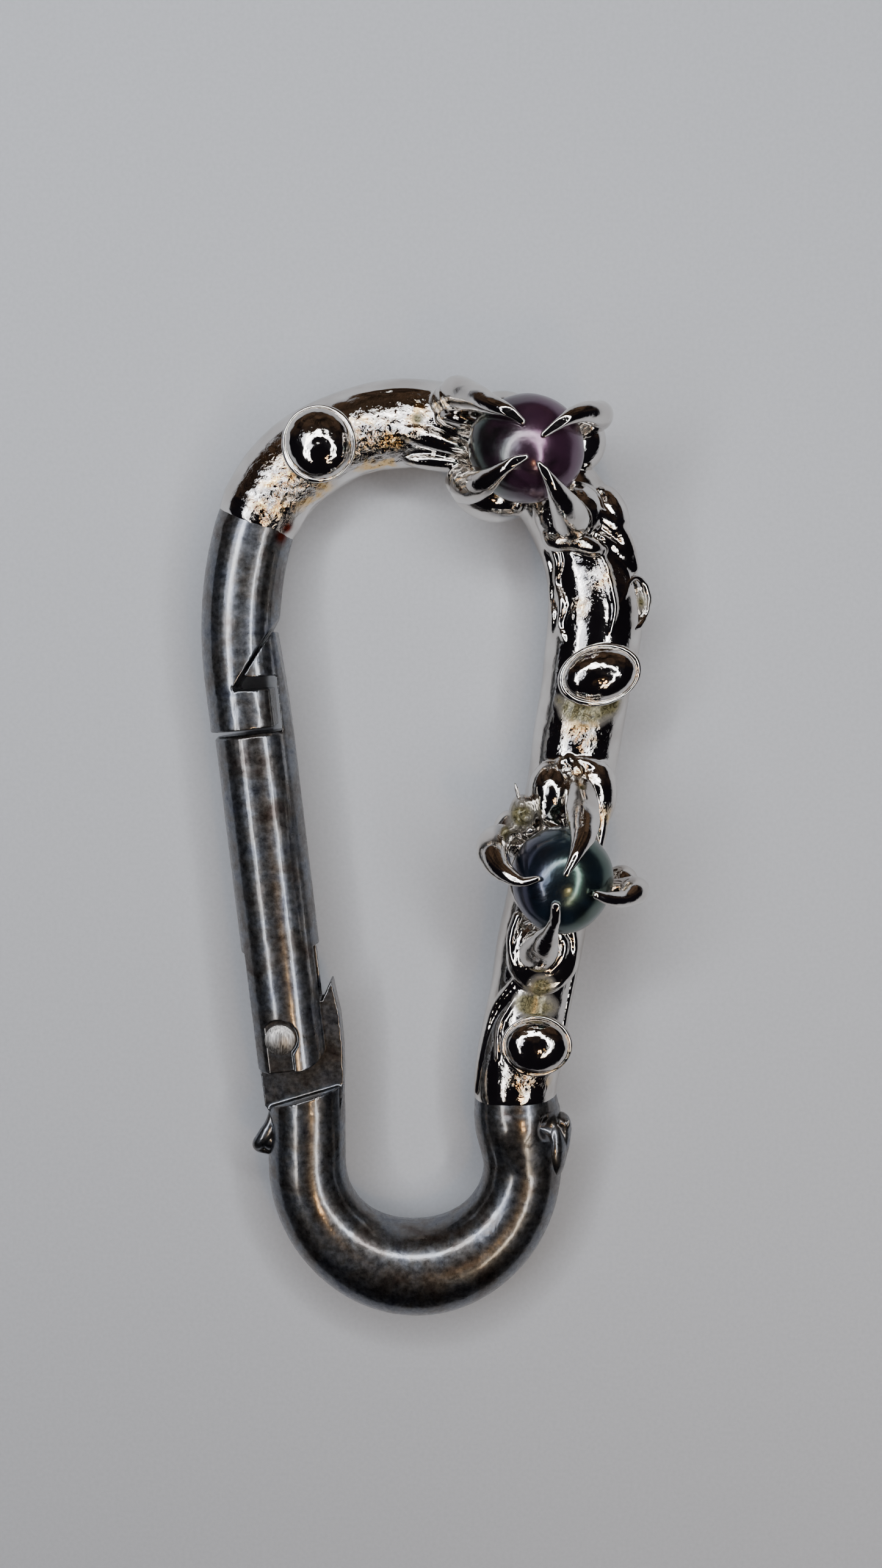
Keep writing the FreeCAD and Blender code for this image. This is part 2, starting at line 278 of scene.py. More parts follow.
def normals(obj):
    no = np.empty(len(obj.data.vertices) * 3)
    obj.data.vertex_normals.foreach_get("vector", no)
    return no.reshape(-1, 3)


def push(obj, amounts):
    """Moves each vertex along its normal by so many mm."""
    co = coordinates(obj) + normals(obj) * np.asarray(amounts)[:, None]
    obj.data.vertices.foreach_set("co", (co * MM).ravel())
    obj.data.update()


def grain(co, size, seed=0.0, stretch=(1, 1, 1)):
    """Smooth noise of that size in mm at every point, from about -1 to 1."""
    shift = Vector((seed * 7.3, seed * 3.1, seed * 5.7))
    q = co / size * np.array(stretch)
    return np.array([noise.noise(Vector(p) + shift) for p in q])


def folds(co, size, seed=0.0, warp=0.8):
    """Sharp-crested folds, as in a skin of metal that froze while it flowed."""
    shift = Vector((seed * 5.1, seed * 2.3, seed * 8.9))
    out = np.empty(len(co))
    for i, p in enumerate(co / size):
        v = Vector(p) + shift
        bend = noise.noise_vector(v * 0.6) * warp
        out[i] = 1 - 2.2 * abs(noise.noise(v + bend))
    return out


def near(co, spot, reach):
    """1 at a spot, falling to 0 about twice reach away."""
    d = np.linalg.norm(co - np.array(spot), axis=1)
    return np.exp(-((d / reach) ** 2))


def keep_inside(obj):
    """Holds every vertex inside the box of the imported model."""
    low, high = (np.array(c) / MM for c in CAD_BOX)
    co = np.clip(coordinates(obj), low + 0.01, high - 0.01)
    obj.data.vertices.foreach_set("co", (co * MM).ravel())
    obj.data.update()


def finish_piece(obj, body, finish, slot, *nodes):
    """Gives a piece its surface and its body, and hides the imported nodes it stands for."""
    if not obj.data.polygons:
        raise RuntimeError(obj.name + " came out empty")
    keep_inside(obj)
    for face in obj.data.polygons:
        face.use_smooth = True
    obj.data.materials.clear()
    obj.data.materials.append(finish)
    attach(obj, body)
    if nodes:
        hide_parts(*nodes)
    return obj


def mark(obj, name, values):
    """Stores one number for each vertex, for a material to read."""
    layer = obj.data.attributes.new(name, "FLOAT", "POINT")
    layer.data.foreach_set("value", np.clip(values, 0, 1).astype(np.float32))


# ------------------------------------------------------------ materials
def linear(hex_colour):
    """sRGB hex to the linear colour that the shader takes."""
    out = []
    for i in (1, 3, 5):
        c = int(hex_colour[i: i + 2], 16) / 255
        out.append(c / 12.92 if c <= 0.04045 else ((c + 0.055) / 1.055) ** 2.4)
    return (*out, 1.0)


def add(tree, kind, links=(), **settings):
    """Adds a node with its settings, and links (socket, source) pairs into it."""
    made = tree.nodes.new(kind)
    for key, value in settings.items():
        socket = made.inputs.get(key.replace("_", " ")) if key[0].isupper() else None
        if socket is not None:
            socket.default_value = value
        else:
            setattr(made, key, value)
    for socket, source in links:
        tree.links.new(source, made.inputs[socket])
    return made


def new_material(name):
    """An empty material and its node tree."""
    made = bpy.data.materials.new(name)
    made.use_nodes = True
    made.node_tree.nodes.clear()
    return made, made.node_tree


def in_mm(tree, rotation=(0, 0, 0), scale=(1, 1, 1)):
    """The piece's own coordinates in millimetres."""
    place = add(tree, "ShaderNodeTexCoord")
    turned = add(tree, "ShaderNodeMapping", [("Vector", place.outputs["Object"])])
    turned.inputs["Rotation"].default_value = rotation
    turned.inputs["Scale"].default_value = [c / MM for c in scale]
    return turned.outputs["Vector"]


def speckle(tree, where, size, detail=3.0, roughness=0.55, distortion=0.0):
    """Cloudy noise whose patches are about size mm across."""
    made = add(
        tree, "ShaderNodeTexNoise", [("Vector", where)],
        Scale=1 / size, Detail=detail, Roughness=roughness, Distortion=distortion,
    )
    return made.outputs["Fac"]


def ramp(tree, source, stops):
    """A colour ramp; each stop is a place and a colour."""
    made = add(tree, "ShaderNodeValToRGB", [("Fac", source)])
    elements = made.color_ramp.elements
    while len(elements) < len(stops):
        elements.new(0.5)
    for element, (place, colour) in zip(elements, stops):
        element.position = place
        element.color = linear(colour) if isinstance(colour, str) else (colour, colour, colour, 1)
    return made.outputs["Color"]


def spread(tree, source, low, high, start=0.3, end=0.7):
    """Stretches the stretch from start to end of the source over low to high."""
    made = add(tree, "ShaderNodeMapRange", [("Value", source)])
    made.inputs["From Min"].default_value = start
    made.inputs["From Max"].default_value = end
    made.inputs["To Min"].default_value = low
    made.inputs["To Max"].default_value = high
    return made.outputs["Result"]


def multiplied(tree, first, second, amount):
    """first darkened by second, by that share."""
    made = tree.nodes.new("ShaderNodeMix")
    made.data_type, made.blend_type = "RGBA", "MULTIPLY"
    made.inputs["Factor"].default_value = amount
    sockets = [s for s in made.inputs if s.type == "RGBA"]
    tree.links.new(first, sockets[0])
    tree.links.new(second, sockets[1])
    return [s for s in made.outputs if s.type == "RGBA"][0]


def mixed(tree, factor, first, second):
    """first turned into second by the factor; each is a hex colour, a linear colour or a socket."""
    made = tree.nodes.new("ShaderNodeMix")
    made.data_type = "RGBA"
    tree.links.new(factor, made.inputs["Factor"])
    for socket, value in (("A", first), ("B", second)):
        target = [s for s in made.inputs if s.name == socket and s.type == "RGBA"][0]
        if isinstance(value, bpy.types.NodeSocket):
            tree.links.new(value, target)
        else:
            target.default_value = linear(value) if isinstance(value, str) else (*value, 1.0)
    return [s for s in made.outputs if s.type == "RGBA"][0]


def bumps(tree, layers):
    """Stacks height textures into one normal; each layer is a height, its depth in mm and its strength."""
    normal = None
    for height, depth, strength in layers:
        made = add(tree, "ShaderNodeBump", [("Height", height)])
        made.inputs["Distance"].default_value = depth * MM
        made.inputs["Strength"].default_value = strength
        if normal is not None:
            tree.links.new(normal, made.inputs["Normal"])
        normal = made.outputs["Normal"]
    return normal


def close(tree, shader):
    """Makes the shader the material's surface."""
    add(tree, "ShaderNodeOutputMaterial", [("Surface", shader.outputs["BSDF"])])


def worn_dark_nickel():
    """Steel with dark nickel plate, tumbled and then worn: dark gunmetal of two glosses, a sharp one where
    the plate is whole and a dull one where fine pits broke it; heat left it brown here and blue there."""
    made, tree = new_material("worn_dark_nickel_steel")
    where = in_mm(tree)
    cloud = speckle(tree, where, 2.6, 5.0, 0.62, 0.6)
    tint = ramp(tree, cloud, [(0.30, "#5b5350"), (0.44, "#757371"), (0.56, "#7d8085"), (0.70, "#585c68")])
    mottle = speckle(tree, where, 0.55, 4.0, 0.62)
    shade = ramp(tree, mottle, [(0.32, 0.66), (0.62, 1.0)])
    pits = speckle(tree, where, 0.12, 2.0, 0.6)
    plate = multiplied(tree, tint, shade, 0.8)
    copper = add(tree, "ShaderNodeAttribute", attribute_name="copper").outputs["Fac"]
    colour = mixed(tree, copper, plate, "#5a2016")
    slant = in_mm(tree, rotation=(0, 0, math.radians(38)), scale=(1.0, 0.06, 1.0))
    scratch = speckle(tree, slant, 0.09, 2.0, 0.5)
    normal = bumps(tree, [(mottle, 0.020, 0.30), (pits, 0.006, 0.30), (scratch, 0.006, 0.30)])
    sharp, dull = (
        add(tree, "ShaderNodeBsdfPrincipled", [("Base Color", colour), ("Normal", normal)],
            Metallic=1.0, Roughness=gloss)
        for gloss in (0.15, 0.36)
    )
    share = spread(tree, mottle, 0.25, 0.65, 0.35, 0.65)
    both = add(tree, "ShaderNodeMixShader")
    tree.links.new(share, both.inputs[0])
    tree.links.new(sharp.outputs["BSDF"], both.inputs[1])
    tree.links.new(dull.outputs["BSDF"], both.inputs[2])
    add(tree, "ShaderNodeOutputMaterial", [("Surface", both.outputs["Shader"])])
    return made


def bright_turned_steel():
    """Plain steel, turned and then hammered over: bright, with a fine cross scratch."""
    made, tree = new_material("bright_turned_steel")
    first = speckle(tree, in_mm(tree, (0, 0, 0.7), (1, 0.08, 1)), 0.08, 2.0)
    second = speckle(tree, in_mm(tree, (0, 0, -0.9), (1, 0.08, 1)), 0.10, 2.0)
    colour = ramp(tree, first, [(0.35, "#6f6d6b"), (0.65, "#c2c0bc")])
    shader = add(
        tree, "ShaderNodeBsdfPrincipled",
        [("Base Color", colour), ("Roughness", spread(tree, second, 0.32, 0.52)),
         ("Normal", bumps(tree, [(first, 0.015, 0.5), (second, 0.015, 0.5)]))],
        Metallic=1.0,
    )
    close(tree, shader)
    return made


def grown_silver(name, wrinkle_depth):
    """Silver that was grown over the steel and flash-polished: a wet mirror, crumpled like foil and tarnished
    to straw where it froze fast; glassy olive residue stays in the corners and copper shows at the joint."""
    made, tree = new_material(name)
    where = in_mm(tree)
    residue, copper, foil = (
        add(tree, "ShaderNodeAttribute", attribute_name=kind).outputs["Fac"]
        for kind in ("residue", "copper", "foil")
    )
    crumple = speckle(tree, where, 1.0, 2.0, 0.5, 1.0)
    wrinkle = speckle(tree, where, 0.42, 3.0, 0.60, 1.8)
    frozen = multiplied(tree, wrinkle, ramp(tree, foil, [(0.0, 0.12), (1.0, 1.0)]), 1.0)
    silver = ramp(tree, speckle(tree, where, 3.0, 2.0), [(0.3, "#c2bcb5"), (0.7, "#dfdcd8")])
    straw = multiplied(tree, ramp(tree, foil, [(0.2, 0.0), (0.9, 1.0)]),
                       ramp(tree, speckle(tree, where, 1.3, 2.0), [(0.45, 0.0), (0.60, 1.0)]), 1.0)
    tarnished = mixed(tree, straw, silver, "#ecc88e")
    olive = ramp(tree, wrinkle, [(0.35, "#35321f"), (0.65, "#8b8563")])
    stained = mixed(tree, residue, tarnished, olive)
    colour = mixed(tree, copper, stained, "#642418")
    shader = add(
        tree, "ShaderNodeBsdfPrincipled",
        [("Base Color", colour), ("Metallic", spread(tree, residue, 1.0, 0.30, 0.1, 0.9)),
         ("Roughness", spread(tree, residue, 0.06, 0.22, 0.0, 0.8)),
         ("Normal", bumps(tree, [(crumple, wrinkle_depth, 1.0), (frozen, wrinkle_depth * 2.6, 1.0)]))],
    )
    close(tree, shader)
    return made


def nacre(name, deep, body, crest, overtone, towards):
    """Black-lip nacre over an off-round bead: a dark body whose skin of fine layers throws back the light
    in a soft glow; the overtone drifts across the pearl in broad patches."""
    made, tree = new_material(name)
    where = in_mm(tree)
    patches = speckle(tree, where, 3.2, 3.0, 0.55, 0.8)
    drift = add(tree, "ShaderNodeSeparateXYZ", [("Vector", where)]).outputs["X"]
    side = spread(tree, drift, 0.0, 1.0, towards - 2.6, towards + 1.2)
    deep_or_body = ramp(tree, patches, [(0.34, deep), (0.62, body)])
    glow = mixed(tree, side, overtone, crest)
    flecks = speckle(tree, where, 0.24, 3.0, 0.6)
    shader = add(
        tree, "ShaderNodeBsdfPrincipled",
        [("Base Color", deep_or_body), ("Specular Tint", glow),
         ("Roughness", spread(tree, flecks, 0.18, 0.24)),
         ("Normal", bumps(tree, [(patches, 0.12, 0.5), (flecks, 0.004, 0.20)]))],
        IOR=1.62, Specular_IOR_Level=1.0, Coat_Weight=0.2, Coat_Roughness=0.08,
    )
    close(tree, shader)
    return made


def pale_board():
    """Matt pale card with a faint tooth."""
    made, tree = new_material("matt_pale_card")
    tooth = speckle(tree, in_mm(tree), 0.35, 3.0)
    colour = ramp(tree, tooth, [(0.3, "#b1b4b9"), (0.7, "#b8bbc0")])
    shader = add(
        tree, "ShaderNodeBsdfPrincipled",
        [("Base Color", colour), ("Normal", bumps(tree, [(tooth, 0.02, 0.2)]))],
        Roughness=0.9,
    )
    close(tree, shader)
    return made


MATERIALS = {}


def material(name):
    """Each material is made once, when a piece first asks for it."""
    makers = {
        "nickel": worn_dark_nickel,
        "bright": bright_turned_steel,
        "silver": lambda: grown_silver("mirror_polished_grown_silver", 0.024),
        "bead": lambda: grown_silver("mirror_polished_silver_bead", 0.020),
        "aubergine": lambda: nacre(
            "aubergine_black_lip_nacre", "#0e080d", "#2a1826", "#f0bfe2", "#b9d6c6", 8.0),
        "peacock": lambda: nacre(
            "peacock_black_lip_nacre", "#06080c", "#0e1822", "#bfe9d2", "#a9a6d8", 11.0),
        "card": pale_board,
    }
    if name not in MATERIALS:
        MATERIALS[name] = makers[name]()
    return MATERIALS[name]


# ------------------------------------------------------------ user values
class HookSizes(bpy.types.PropertyGroup):
    steel_voxel: FloatProperty(
        name="Steel fineness", description="Cell size that rounds the steel's worn edges, in mm",
        default=0.11, min=0.05, max=0.5)
    silver_voxel: FloatProperty(
        name="Silver fineness", description="Cell size that melts the silver together, in mm",
        default=0.13, min=0.05, max=0.5)
    crumple: FloatProperty(
        name="Crumple", description="Height of the folds in the silver skin, in mm",
        default=0.035, min=0.0, max=0.3)
    lamp_radius: FloatProperty(
        name="Ring lamp radius", description="Radius of the ring lamp over the hook",
        default=0.105, subtype="DISTANCE", unit="LENGTH")
    lamp_height: FloatProperty(
        name="Ring lamp height", description="Height of the ring lamp over the table",
        default=0.150, subtype="DISTANCE", unit="LENGTH")


class HookColours(bpy.types.PropertyGroup):
    lamp: FloatVectorProperty(
        name="Lamp", description="Colour of the ring lamp", subtype="COLOR", size=3,
        default=linear("#fbfcff")[:3], min=0, max=1)
    lamp_ends: FloatVectorProperty(
        name="Lamp ends", description="Warmer colour at the two ends of the ring", subtype="COLOR", size=3,
        default=linear("#ffe6c2")[:3], min=0, max=1)
    room: FloatVectorProperty(
        name="Room", description="Colour of the dark room on the near side", subtype="COLOR", size=3,
        default=linear("#141217")[:3], min=0, max=1)


def sizes():
    return bpy.context.scene.hook_sizes


def colours():
    return bpy.context.scene.hook_colours


# ------------------------------------------------------------ operators
LEGS_END = -21.6    # y below which the bar is round all the way, with nothing on it but the lugs
DENT = 0.3          # the deepest flat that true_up fills

# The torn lugs: the ear on the left leg and the ledge on the right, with their half thickness on the way.
EAR_LINE = [
    (-12.9, -21.9, 4.9), (-13.1, -23.1, 5.2), (-13.8, -24.3, 5.2), (-14.1, -25.0, 4.9), (-13.3, -25.5, 4.8),
]
EAR_THICK = [0.32 + 0.32 * math.sin(math.pi * i / 23) for i in range(24)]
LEDGE_LINE = [
    (11.3, -22.7, 4.8), (12.0, -23.0, 4.8), (11.9, -24.9, 4.6), (11.4, -26.9, 4.4), (10.7, -28.8, 4.2),
]
LEDGE_THICK = [0.35, 0.5, 0.6, *[0.68] * 19, 0.66, 0.62, 0.56, 0.5, 0.42, 0.34, 0.26, 0.2]
LEDGE_CAVITY = (10.5, -23.0, 6.6)


class HOOK_OT_steel_frame(bpy.types.Operator):
    """Bent steel bar with its worn, rounded edges and forging lugs"""
    bl_idname = "hook.steel_frame"
    bl_label = "Steel frame"

    def execute(self, context):
        bar = copy_of_node("steel_frame", "frame_bar")
        melt(bar, sizes().steel_voxel, rounds=2)
        co = coordinates(bar)
        cavity = 1.5 * near(co, LEDGE_CAVITY, 0.75)
        push(bar, self.true_up(co) - cavity + 0.018 * grain(co, 3.0, 1.0) + 0.008 * grain(co, 0.9, 2.0))
        mark(bar, "copper", 1.5 * near(coordinates(bar), on_bar(125.9, -50, 3.4), 0.8) - 0.3)
        finish_piece(bar, "frame", material("nickel"), "dark_nickel_steel", "frame_bar")
        ear = piece("forged_ear", [
            tube(smooth_line(EAR_LINE, len(EAR_THICK)), EAR_THICK, sides=20),
            blob((-13.2, -24.5, 4.6), (0.85, 1.05, 1.0)),
        ])
        ledge = piece("filed_ledge", [
            tube(smooth_line(LEDGE_LINE, len(LEDGE_THICK)), LEDGE_THICK, sides=20, flatten=1.7),
            blob((11.2, -25.2, 4.9), (1.1, 2.7, 1.7)),
            tube([(12.0, -23.4, 5.4), (12.3, -22.9, 5.7), (12.4, -22.5, 5.9)], [0.50, 0.30, 0.10], sides=12),
            tube([(9.6, -22.6, 6.6), (9.9, -22.2, 7.1), (10.1, -21.7, 7.5)], [0.30, 0.18, 0.06], sides=12),
            tube([(10.3, -22.4, 6.2), (10.5, -22.0, 6.6), (10.6, -21.6, 6.8)], [0.25, 0.15, 0.05], sides=12),
        ])
        for small in (ear, ledge):
            melt(small, 0.07, rounds=3)
            co = coordinates(small)
            push(small, 0.05 * grain(co, 1.1, 21.0))
            finish_piece(small, "frame", material("nickel"), "dark_nickel_steel")
        return {"FINISHED"}

    def true_up(self, co):
        """How far each point of the round lower bow must rise to lie on the true round bar."""
        amounts = np.zeros(len(co))
        reach = np.arange(0.5, SKIN_FROM - 0.6, 0.1)
        line = np.array([tuple(station(s)[0]) for s in reach])
        for i in np.nonzero(co[:, 1] < LEGS_END)[0]:
            d = np.linalg.norm(line - co[i], axis=1)
            k = d.argmin()
            short = bar_radius(reach[k]) - d[k]
            if 0 < short < DENT:
                amounts[i] = short
        return amounts


class HOOK_OT_gate(bpy.types.Operator):
    """Gate bar with its cheeks, rivet seats and hooked head"""
    bl_idname = "hook.gate"
    bl_label = "Gate"

    def execute(self, context):
        gate = copy_of_node("gate_bar", "gate")
        melt(gate, 0.08, rounds=2)
        co = coordinates(gate)
        push(gate, 0.012 * grain(co, 2.4, 3.0) + 0.006 * grain(co, 0.8, 4.0))
        finish_piece(gate, "gate", material("nickel"), "dark_nickel_steel", "gate")
        return {"FINISHED"}


class HOOK_OT_small_steel(bpy.types.Operator):
    """Rivet and plunger, which keep their exact shapes, and a copy of the coil, set on the gate"""
    bl_idname = "hook.small_steel"
    bl_label = "Rivet and works"

    def execute(self, context):
        for node in ("gate_rivet", "gate_plunger"):
            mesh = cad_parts[node].data
            mesh.materials.clear()
            mesh.materials.append(material("bright"))
        coil = copy_of_node("coil_spring", "gate_spring")
        finish_piece(coil, "gate", material("bright"), "spring_steel", "gate_spring")
        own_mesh(coil)
        return {"FINISHED"}


# Folds and ridges frozen into the silver: points of x, y, z and half thickness, in mm.
SILVER_FOLDS = [
    # the wide bend: creases under the top edge and on the left shoulder
    [(-6.3, 37.9, 6.3, 0.15), (-3.2, 38.2, 6.5, 0.30), (-0.8, 38.4, 6.6, 0.25), (1.0, 38.4, 6.8, 0.15)],
    [(-3.5, 37.0, 7.3, 0.08), (-1.5, 37.1, 7.4, 0.16), (0.5, 37.4, 7.5, 0.14), (1.8, 37.6, 7.5, 0.08)],
    [(-13.3, 32.0, 7.2, 0.08), (-13.6, 30.6, 7.3, 0.16), (-13.9, 29.2, 7.2, 0.08)],
    [(-12.0, 33.6, 7.1, 0.06), (-12.8, 32.4, 7.1, 0.12), (-13.1, 31.2, 7.1, 0.06)],
    # the outer corner: pale shoulder, inner long folds, the ridge beside the panel, the framed facet
    [
        (10.0, 27.4, 7.0, 0.5), (10.7, 26.3, 7.9, 0.75), (12.2, 26.3, 8.4, 0.85),
        (13.6, 25.9, 8.3, 0.75), (14.6, 25.6, 7.8, 0.5),
    ],
    [
        (10.2, 26.6, 7.2, 0.48), (10.9, 24.7, 7.1, 0.42), (10.6, 23.0, 6.8, 0.30),
        (11.3, 21.3, 7.1, 0.40), (11.1, 19.7, 6.9, 0.24), (11.8, 18.2, 7.1, 0.2),
    ],
    [
        (9.6, 25.4, 6.0, 0.15), (10.2, 23.6, 6.2, 0.34), (9.9, 21.9, 5.8, 0.22),
        (10.5, 20.4, 6.2, 0.30), (10.4, 19.0, 5.9, 0.12),
    ],
    [
        (14.3, 25.4, 7.5, 0.30), (14.9, 24.2, 7.4, 0.42), (15.2, 22.4, 7.1, 0.42),
        (15.4, 20.8, 6.9, 0.36), (15.1, 19.0, 6.9, 0.25),
    ],
    [
        (15.3, 25.3, 7.2, 0.18), (16.2, 24.3, 6.7, 0.24), (16.6, 23.3, 6.3, 0.24),
        (16.1, 21.9, 6.5, 0.22), (15.5, 20.8, 6.8, 0.2),
    ],
    [(15.3, 20.7, 6.9, 0.12), (15.9, 20.2, 6.5, 0.18), (15.3, 18.9, 6.7, 0.12)],
    # the outer edge over the corner
    [(14.2, 28.6, 7.6, 0.7), (15.6, 27.6, 6.9, 0.9), (16.6, 26.0, 6.2, 0.8), (17.2, 24.2, 5.8, 0.6)],
    [(14.6, 26.7, 7.9, 0.3), (15.6, 26.0, 7.2, 0.4), (16.4, 24.8, 6.6, 0.35), (17.0, 23.8, 6.2, 0.25)],
    # round the foot of the near claw of the upper pearl
    [
        (9.2, 28.0, 9.0, 0.35), (10.0, 26.8, 8.9, 0.42), (11.6, 26.1, 8.9, 0.42),
        (13.2, 26.7, 8.9, 0.42), (14.2, 28.2, 9.0, 0.35),
    ],
    [
        (9.8, 28.5, 9.6, 0.25), (10.4, 27.3, 9.6, 0.32), (11.8, 26.9, 9.6, 0.32),
        (13.1, 27.6, 9.6, 0.32), (13.7, 28.9, 9.6, 0.25),
    ],
    # two lobes over the lower pearl, with the groove of its top claw between them
    [
        (11.6, 8.2, 7.3, 0.5), (10.6, 7.0, 7.7, 0.85), (10.2, 5.4, 7.9, 1.00), (10.4, 4.0, 8.1, 0.90),
        (11.2, 3.0, 8.2, 0.6),
    ],
    [
        (12.9, 8.3, 7.3, 0.5), (14.2, 7.6, 7.4, 0.75), (14.7, 6.0, 7.5, 0.90), (14.7, 4.2, 7.6, 0.80),
        (14.6, 2.4, 7.7, 0.7), (14.4, 0.8, 7.8, 0.5),
    ],
    [(12.2, 8.6, 7.6, 0.4), (12.7, 7.6, 7.9, 0.55), (12.9, 6.4, 8.1, 0.6)],
    # the swirl under the lower pearl's near claw
    [
        (7.9, -4.6, 8.0, 0.50), (7.4, -6.6, 7.8, 0.52), (7.8, -8.9, 7.8, 0.52), (9.2, -10.4, 7.8, 0.56),
        (10.9, -10.4, 7.8, 0.56), (12.1, -9.0, 7.8, 0.52), (12.5, -7.2, 7.8, 0.52),
        (12.3, -5.4, 8.0, 0.50),
    ],
    [(10.6, -5.4, 8.6, 0.50), (11.6, -6.6, 8.3, 0.50), (11.4, -8.0, 8.3, 0.50), (10.4, -9.2, 8.2, 0.50)],
    [(12.4, -5.2, 8.9, 0.2), (12.7, -6.8, 8.6, 0.25), (12.3, -8.6, 8.3, 0.25), (11.4, -10.0, 8.1, 0.2)],
    # folds down the inner side of the spine
    [
        (7.6, -10.2, 7.2, 0.20), (6.2, -12.4, 6.3, 0.32), (5.5, -14.8, 5.8, 0.34),
        (4.9, -17.8, 5.6, 0.30), (4.5, -20.2, 5.4, 0.2),
    ],
    [(7.5, -11.9, 7.4, 0.12), (6.4, -13.9, 7.1, 0.20), (6.3, -16.1, 7.1, 0.22), (6.4, -19.0, 7.1, 0.12)],
]

FINE_FOLD = 0.5     # half thickness below which a fold lies half sunk in the sleeve

# Broad masses under the settings: centre, half sizes and turn, in mm and degrees.
SILVER_MASSES = [
    ((12.0, 28.6, 7.0), (2.9, 2.6, 2.3), 0),
    ((15.4, 28.6, 5.8), (1.6, 2.6, 2.0), 20),
    ((5.4, 30.0, 6.6), (3.1, 2.0, 2.9), -18),
    ((3.2, 31.2, 7.4), (1.4, 1.3, 1.9), 0),
    ((2.7, 37.9, 7.2), (2.1, 1.6, 3.1), 20),
    ((3.3, 35.9, 7.6), (2.3, 0.9, 2.5), -12),
    ((6.5, 36.0, 6.5), (3.2, 2.6, 2.4), 0),
    ((12.5, 34.5, 6.0), (2.6, 2.6, 2.2), 0),
    ((12.4, 3.4, 6.2), (2.2, 3.2, 2.0), 0),
    ((10.2, -7.6, 6.6), (2.5, 3.2, 2.0), 0),
    ((7.2, 2.2, 7.0), (1.4, 2.0, 1.8), 0),
    ((16.6, -2.2, 7.2), (1.5, 1.8, 1.7), 0),
    # the broad fold of the wide bend and the smaller one inside it
    ((0.4, 34.8, 7.0), (4.6, 1.0, 1.0), -17),
    ((1.4, 32.9, 5.8), (3.2, 0.8, 1.2), -6),
    # the bodies of the two lobes over the lower pearl
    ((10.7, 5.6, 7.3), (1.9, 2.7, 1.8), 8),
    ((14.2, 5.4, 7.0), (1.9, 3.1, 1.7), -4),
    # the outer edge of the corner
    ((16.0, 25.8, 5.8), (1.5, 2.4, 1.5), 25),
    # the swirl and the clubbed foot in it
    ((10.0, -8.0, 7.5), (3.1, 3.2, 1.3), 0),
    ((9.7, -6.9, 9.2), (1.5, 1.5, 1.5), 0),
    # grains of flux beside the lower pearl, one with a spike
    ((8.2, 4.0, 7.8), (1.1, 1.6, 1.3), 0),
    ((8.1, 4.9, 9.0), (0.42, 0.42, 0.5), 0),
    ((8.5, 3.8, 9.3), (0.45, 0.38, 0.5), 0),
    ((7.6, 3.1, 9.0), (0.40, 0.45, 0.5), 0),
    ((8.8, 2.8, 9.6), (0.42, 0.40, 0.5), 0),
    ((7.8, 5.7, 8.8), (0.20, 1.0, 0.20), 14),
]

# Where flux and residue stayed in the corners: place and reach, in mm.
RESIDUE_SPOTS = [
    ((12.2, 12.6, 7.7), 1.0), ((13.8, 12.4, 7.6), 1.3), ((15.6, 13.1, 7.0), 1.1), ((10.9, 13.4, 7.3), 0.5),
    ((9.6, -12.4, 8.0), 1.3), ((8.2, -12.0, 7.8), 0.8), ((11.4, -12.6, 7.8), 0.8), ((9.9, -10.4, 8.4), 1.0),
    ((8.1, 3.9, 9.0), 1.3), ((-0.4, 36.2, 7.9), 0.5), ((16.8, 19.6, 6.4), 0.6),
]

# Where the skin froze fast and crumpled like foil: place and reach, in mm.
FOIL_SPOTS = [
    ((-10.6, 31.6, 7.5), 2.6), ((-12.4, 29.4, 7.4), 1.6), ((-5.0, 34.9, 7.6), 2.0), ((-2.6, 33.6, 7.0), 2.0),
    ((-0.4, 36.6, 7.8), 1.6), ((13.2, 11.2, 7.6), 1.8), ((14.7, 23.4, 7.4), 1.3), ((12.9, 20.8, 7.6), 0.9),
    ((8.3, -18.6, 7.4), 1.0), ((10.7, -19.0, 7.4), 1.0), ((9.6, -10.6, 8.2), 0.9), ((4.0, 31.6, 8.6), 1.4),
    ((11.9, 27.0, 9.0), 1.2), ((12.9, 7.0, 8.4), 1.0), ((-4.0, 32.6, 6.2), 1.8), ((-8.6, 30.2, 6.2), 1.4),
    ((14.9, 4.0, 8.0), 1.0), ((9.0, 22.0, 6.0), 1.6),
]


